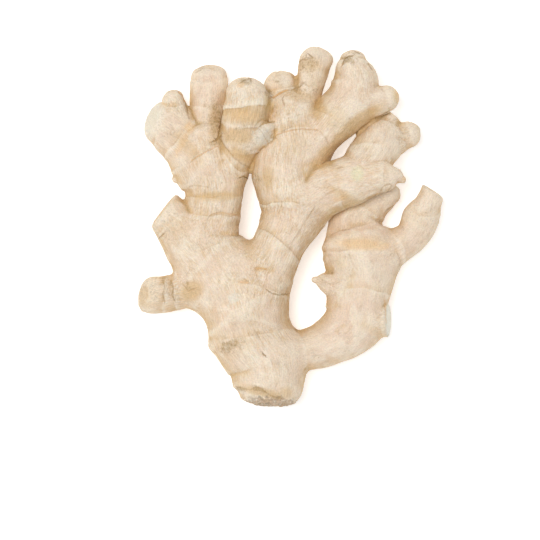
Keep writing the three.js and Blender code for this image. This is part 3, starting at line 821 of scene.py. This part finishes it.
skinColours = {
    "cream": (0.83, 0.70, 0.55, 1),
    "pinkCream": (0.80, 0.62, 0.48, 1),
    "tan": (0.65, 0.425, 0.185, 1),
    "gold": (0.72, 0.53, 0.22, 1),
    "pale": (0.90, 0.795, 0.645, 1),
    "ringBrown": (0.38, 0.225, 0.075, 1),
    "scarBrown": (0.36, 0.24, 0.11, 1),
    "scarGrey": (0.66, 0.46, 0.29, 1),
    "dryPale": (0.80, 0.60, 0.43, 1),
    "peach": (0.82, 0.53, 0.26, 1),
    "orange": (0.74, 0.42, 0.17, 1),
    "stainAndShade": (0.46, 0.31, 0.14, 1),
    "smear": (0.79, 0.72, 0.60, 1),
    "flesh": (0.84, 0.79, 0.66, 1),
    "scraped": (0.82, 0.80, 0.54, 1),
}

skinFinish = {
    "broad": 17,  # pitches of the noises
    "middle": 4.5,
    "small": 1.8,
    "fine": 0.75,
    "wideFibres": (0.85, 15.0, 2, 0.5),  # pitch across, stretch along, detail, distortion
    "thinFibres": (0.5, 16.0, 1, 0.3),
    "hairs": (1.1, 18.0, 1, 0.3),
    "wrinkles": (2.6, 2.2, 3, 0.8),
    "mottle": (0.5, 6.0, 2, 0.4),
    "patches": [  # kind, colour, the most that is laid on, and whether the edge is ragged
        ("tan", "tan", 0.65, False),
        ("gold", "gold", 0.6, False),
        ("pale", "pale", 0.6, True),
        ("peach", "peach", 0.5, False),
        ("grey", "smear", 0.75, True),
        ("brown", "stainAndShade", 0.55, True),
        ("scrape", "scraped", 0.6, False),
    ],
    "tear": 2.6,  # how far the noise moves a ragged edge
    "ringLength": (9.0, 2.6, 7.0),  # of the fibres and the pale lip before a ring, and the tan after
    "heights": {  # of what is too fine for the mesh
        "thin": 0.08,
        "small": 0.15,
        "fine": 0.13,
        "line": -0.12,
        "stroke": -0.3,
        "specks": -0.12,
        "wrinkled": -0.07,
    },
    "fibreHeight": 0.13,
    "crustHeight": 1.0,  # of torn skin and brown patches
    "roughness": (0.5, 0.2, 0.15),  # least, spread by the noise, and more on torn skin
    "surface": {
        "Specular IOR Level": 0.3,
        "Subsurface Weight": 0.1,
        "Subsurface Radius": (1.0, 0.6, 0.3),
        "Subsurface Scale": 0.0015,
    },
}


skinMaterial = bpy.data.materials.new("gingerSkin")
skinMaterial.use_nodes = True
tree = skinMaterial.node_tree


# A node with its inputs set: each value is a socket to link or a constant.
def addNode(kind, inputs, **settings):
    made = tree.nodes.new(kind)
    for name, value in settings.items():
        setattr(made, name, value)
    for key, value in inputs.items():
        if isinstance(value, bpy.types.NodeSocket):
            tree.links.new(value, made.inputs[key])
        else:
            made.inputs[key].default_value = value
    return made


def calculate(operation, *values):
    inputs = dict(enumerate(values))
    return addNode("ShaderNodeMath", inputs, operation=operation).outputs[0]


def times(first, *others):
    for other in others:
        first = calculate("MULTIPLY", first, other)
    return first


# A noise shifted to lie round zero, and scaled.
def sway(value, size):
    return times(calculate("SUBTRACT", value, 0.5), size)


# How far a noise is from its own middle: small along winding lines.
def offLine(value):
    return calculate("ABSOLUTE", calculate("SUBTRACT", value, 0.5))


def mix(share, first, second, blend="MIX"):
    inputs = {0: share, 6: first, 7: second}
    made = addNode("ShaderNodeMix", inputs, data_type="RGBA", blend_type=blend)
    return made.outputs[2]


# Lays one of the skin's colours over what is there.
def layOn(colour, name, *shares):
    return mix(times(*shares), colour, skinColours[name])


def fade(value, low, high):
    inputs = {0: value, 1: low, 2: high}
    return addNode("ShaderNodeMapRange", inputs, interpolation_type="SMOOTHSTEP").outputs[0]


def waves(vector, pitch, detail=2.0, roughness=0.5, distortion=0.0):
    inputs = {
        "Vector": vector,
        "Scale": 1 / pitch,
        "Detail": detail,
        "Roughness": roughness,
        "Distortion": distortion,
    }
    return addNode("ShaderNodeTexNoise", inputs).outputs["Fac"]


# Noise of a given pitch across a limb, drawn out along it.
def fibres(grain, pitch, stretch, detail, distortion):
    size = (1 / pitch, 1 / pitch, 1 / pitch / stretch)
    scaled = addNode("ShaderNodeVectorMath", {0: grain, 1: size}, operation="MULTIPLY")
    return waves(scaled.outputs[0], 1.0, detail, 0.6, distortion)


def readAttribute(name):
    source = addNode("ShaderNodeAttribute", {}, attribute_name=name)
    return addNode("ShaderNodeSeparateXYZ", {0: source.outputs["Vector"]}).outputs


# The place in millimetres, the values that the mesh holds, and the noises used all over.
def readSkin():
    place = addNode("ShaderNodeTexCoord", {}).outputs["Object"]
    inMillimetres = {0: place, 1: (1000, 1000, 1000)}
    place = addNode("ShaderNodeVectorMath", inMillimetres, operation="MULTIPLY").outputs[0]
    grain = addNode("ShaderNodeAttribute", {}, attribute_name="grain").outputs["Vector"]
    wide = fibres(grain, *skinFinish["wideFibres"])
    thin = fibres(grain, *skinFinish["thinFibres"])
    read = {
        "place": place,
        "grain": grain,
        "broad": waves(place, skinFinish["broad"], detail=2),
        "middle": waves(place, skinFinish["middle"], detail=4, roughness=0.6),
        "small": waves(place, skinFinish["small"], detail=4, roughness=0.7),
        "fine": waves(place, skinFinish["fine"], detail=2, roughness=0.6),
        "wide": fade(wide, 0.32, 0.68),
        "thin": fade(thin, 0.32, 0.68),
    }
    read.update(zip(ringValues, readAttribute("ring")))
    for name, packed in pointValues.items():
        read.update(zip(packed, readAttribute(name)))
    read["tear"] = sway(read["small"], skinFinish["tear"])
    return read


# Cream and pink skin in soft patches, each stretch between rings with its own tint, and painted shade in
# tan on the flanks.
def baseColour(read):
    patch = fade(read["broad"], 0.35, 0.65)
    patch = calculate("ADD", patch, times(read["tint"], 0.6))
    colour = layOn(skinColours["pinkCream"], "cream", patch, 0.62)
    colour = layOn(colour, "pale", fade(read["middle"], 0.48, 0.75), 0.22)
    colour = layOn(colour, "tan", fade(read["middle"], 0.47, 0.3), 0.12)
    # Painted shade: where the skin faces sideways it is laid over with tan, but not on the underside.
    side = fade(read["up"], 0.93, 0.2)
    notBelow = fade(read["up"], -0.7, -0.1)
    return layOn(colour, "tan", side, notBelow, 0.8)


# Fibres along the limb, strongest just before a ring, fine hairs and a net of wrinkles.
def addFibres(read, colour):
    length = skinFinish["ringLength"][0]
    beforeRing = fade(read["past"], -length, -1.0)
    beforeRing = times(beforeRing, fade(read["past"], 0.6, -0.2))
    streaks = fade(waves(read["place"], 11, detail=1), 0.35, 0.62)
    streaks = calculate("MULTIPLY_ADD", streaks, 0.6, 0.25)
    streaks = times(calculate("MAXIMUM", streaks, beforeRing), read["fibrous"])
    colour = layOn(colour, "pale", fade(read["wide"], 0.4, 1.0), streaks, 0.7)
    colour = layOn(colour, "tan", fade(read["thin"], 0.55, 0.0), streaks, 0.55)
    net = offLine(fibres(read["grain"], *skinFinish["wrinkles"]))
    wrinkled = fade(waves(read["place"], 8, detail=1), 0.45, 0.6)
    wrinkled = times(fade(net, 0.035, 0.0), wrinkled)
    colour = layOn(colour, "ringBrown", wrinkled, 0.16)
    hair = offLine(fibres(read["grain"], *skinFinish["hairs"]))
    read.update({"streaks": streaks, "wrinkled": wrinkled})
    return layOn(colour, "tan", fade(hair, 0.12, 0.0), streaks, 0.4)


# Rings: pale on the lip, partly the skin's own colour and partly painted highlight on the swell; tan past
# it, partly the skin's own colour and partly painted shade in the recess past the step; a thin brown line
# here and there.
def addRings(read, colour):
    lipLength, bandLength = skinFinish["ringLength"][1:]
    past, near = read["past"], read["nearRing"]
    lip = fade(past, -lipLength, -0.8)
    colour = layOn(colour, "pale", lip, fade(past, 0.5, -0.2), near, 0.5)
    pushed = calculate("ADD", past, sway(read["middle"], 5.0))
    band = fade(pushed, bandLength, 0.4)
    # Partly painted shade: the tan band in the recess just past a ring.
    colour = layOn(colour, "tan", band, fade(past, -0.1, 0.5), near, 0.6)
    seen = fade(waves(read["place"], 8, detail=1.5), 0.44, 0.58)
    off = calculate("ABSOLUTE", calculate("SUBTRACT", past, 0.4))
    off = calculate("ADD", off, sway(read["small"], 0.8))
    read["line"] = times(fade(off, 0.5, 0.05), seen, near)
    return layOn(colour, "ringBrown", read["line"], 0.5)


# Painted shade: hollows are laid over with tan, and the groove where two limbs meet with dark brown;
# raised places are made paler.
def addHollowShadeAndPaleRidges(read, colour):
    colour = layOn(colour, "tan", fade(read["cavity"], 0.08, 0.9), 0.5)
    colour = layOn(colour, "ringBrown", read["groove"], 0.8)
    return layOn(colour, "pale", fade(read["cavity"], -0.15, -0.9), 0.5)


# Patches over the skin, some of them painted shade, some with edges broken up by the noise, and flakes on
# the brown ones.
def addPatches(read, colour):
    for value, name, most, ragged in skinFinish["patches"]:
        cover = read[value]
        share = fade(cover, 0.0, 0.9)
        if ragged:
            share = fade(calculate("ADD", cover, read["tear"]), 0.25, 0.95)
        colour = layOn(colour, name, share, fade(cover, 0.0, 0.25), most)
    flakes = fade(read["small"], 0.56, 0.66)
    return layOn(colour, "scarBrown", flakes, read["brown"], 0.6)


# Dry torn skin, pale grey flakes over brown, and pale flesh on the cut ends.
def addTornSkin(read, colour):
    ragged = fade(calculate("ADD", read["dry"], read["tear"]), 0.3, 0.8)
    read["torn"] = times(ragged, fade(read["dry"], 0.0, 0.2))
    greyShare = fade(read["small"], 0.36, 0.52)
    bark = layOn(skinColours["scarBrown"], "scarGrey", greyShare)
    bark = layOn(bark, "dryPale", fade(read["small"], 0.52, 0.68))
    colour = mix(times(read["torn"], 0.7), colour, bark)
    return layOn(colour, "flesh", read["flesh"])


# Strokes and the scars of rootlets.
def addStrokes(read, colour):
    off = calculate("ABSOLUTE", read["aside"])
    off = calculate("ADD", off, sway(read["small"], 0.9))
    near = fade(read["nearStroke"], 0.0, 0.85)
    read["stroke"] = times(fade(off, 0.55, 0.1), near)
    ink = layOn(skinColours["ringBrown"], "orange", read["orange"])
    colour = mix(times(read["stroke"], 0.75), colour, ink)
    return layOn(colour, "stainAndShade", read["scar"], 0.6)


# Specks, and a fine unevenness all over, partly drawn out along the limb.
def addSpecks(read, colour):
    specks = fade(waves(read["place"], 1.5, detail=1), 0.73, 0.79)
    specks = times(specks, fade(read["middle"], 0.45, 0.6))
    crumbs = fade(waves(read["place"], 1.1, detail=2), 0.5, 0.64)
    read["specks"] = calculate("MAXIMUM", specks, times(crumbs, read["speckle"]))
    colour = layOn(colour, "ringBrown", read["specks"], 0.45)
    mottle = calculate("MULTIPLY_ADD", read["fine"], 0.4, 0.805)
    drawn = calculate("SUBTRACT", fibres(read["grain"], *skinFinish["mottle"]), 0.5)
    drawnShare = calculate("MULTIPLY_ADD", read["fibrous"], 0.3, 0.25)
    mottle = times(mottle, calculate("MULTIPLY_ADD", drawn, drawnShare, 1.0))
    grade = addNode("ShaderNodeCombineXYZ", {0: mottle, 1: mottle, 2: mottle}).outputs[0]
    return mix(1.0, colour, grade, "MULTIPLY")


# Height in millimetres of what is too fine for the mesh.
def fineHeight(read):
    height = times(read["wide"], read["streaks"], skinFinish["fibreHeight"])
    for name, amount in skinFinish["heights"].items():
        height = calculate("MULTIPLY_ADD", read[name], amount, height)
    crust = calculate("MAXIMUM", read["torn"], read["brown"])
    return calculate("ADD", height, times(crust, read["small"], skinFinish["crustHeight"]))


def paintSkin():
    read = readSkin()
    colour = baseColour(read)
    for add in (addFibres, addRings, addHollowShadeAndPaleRidges, addPatches, addTornSkin, addStrokes, addSpecks):
        colour = add(read, colour)
    least, spread, torn = skinFinish["roughness"]
    rough = calculate("MULTIPLY_ADD", read["middle"], spread, least)
    rough = calculate("MULTIPLY_ADD", read["torn"], torn, rough)
    inputs = {"Height": fineHeight(read), "Strength": 1.0, "Distance": 0.001}
    bump = addNode("ShaderNodeBump", inputs).outputs[0]
    shader = tree.nodes["Principled BSDF"]
    for name, socket in (("Base Color", colour), ("Roughness", rough), ("Normal", bump)):
        tree.links.new(socket, shader.inputs[name])
    for name, value in skinFinish["surface"].items():
        shader.inputs[name].default_value = value
    print("skin material of", len(tree.nodes), "nodes")


studio = {
    "cameraHeight": 1.815,
    "frameWidth": 0.27,  # m across the picture at the middle of the ginger's height
    "focusHeight": 0.015,
    "look": (-0.010, -0.022),
    "sensor": 36,
    "floorSize": 3,
    "floorDrop": 0.0003,
    "floorColour": (0.95, 0.95, 0.95, 1),
    "floorRoughness": 0.9,
    "floorGlow": 0.4,
    "fill": 0.56,
    "keyPlace": (-0.5, 0.2, 2.1),
    "keySize": 0.9,
    "keyWatts": 24,
}


def makeFloor():
    build = bmesh.new()
    bmesh.ops.create_grid(build, x_segments=1, y_segments=1, size=studio["floorSize"] / 2)
    bmesh.ops.translate(build, verts=build.verts, vec=(0, 0, -studio["floorDrop"]))
    mesh = bpy.data.meshes.new("floor")
    build.to_mesh(mesh)
    build.free()
    floor = bpy.data.objects.new("floor", mesh)
    bpy.context.scene.collection.objects.link(floor)
    material = bpy.data.materials.new("whiteFloor")
    material.use_nodes = True
    shader = material.node_tree.nodes["Principled BSDF"]
    shader.inputs["Base Color"].default_value = studio["floorColour"]
    shader.inputs["Roughness"].default_value = studio["floorRoughness"]
    shader.inputs["Specular IOR Level"].default_value = 0
    shader.inputs["Emission Color"].default_value = studio["floorColour"]
    shader.inputs["Emission Strength"].default_value = studio["floorGlow"]
    mesh.materials.append(material)


def addSoftLight(name, place, target, size, watts):
    light = bpy.data.lights.new(name, "AREA")
    light.shape = "DISK"
    light.size = size
    light.energy = watts
    lamp = bpy.data.objects.new(name, light)
    lamp.location = place
    aim = np.array(target) - np.array(place)
    lamp.rotation_euler = (
        math.atan2(math.hypot(aim[0], aim[1]), -aim[2]),
        0,
        math.atan2(aim[1], aim[0]) - math.pi / 2,
    )
    bpy.context.scene.collection.objects.link(lamp)


def makeStudio():
    scene = bpy.context.scene
    scene.view_settings.view_transform = "Standard"
    world = bpy.data.worlds.new("softbox")
    world.use_nodes = True
    background = world.node_tree.nodes["Background"]
    background.inputs["Color"].default_value = (1, 1, 1, 1)
    background.inputs["Strength"].default_value = studio["fill"]
    scene.world = world
    addSoftLight("key", studio["keyPlace"], (0, 0, 0), studio["keySize"], studio["keyWatts"])
    camera = bpy.data.cameras.new("camera")
    camera.sensor_width = studio["sensor"]
    away = studio["cameraHeight"] - studio["focusHeight"]
    camera.lens = studio["sensor"] * away / studio["frameWidth"]
    eye = bpy.data.objects.new("camera", camera)
    eye.location = (*studio["look"], studio["cameraHeight"])
    scene.collection.objects.link(eye)
    scene.camera = eye
    print("light and camera set")


def main():
    makeStudio()
    makeFloor()
    ginger = buildSkin()
    paintSkin()
    ginger.data.materials.append(skinMaterial)
    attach(ginger, "root")
    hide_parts("ginger_rhizome")


main()
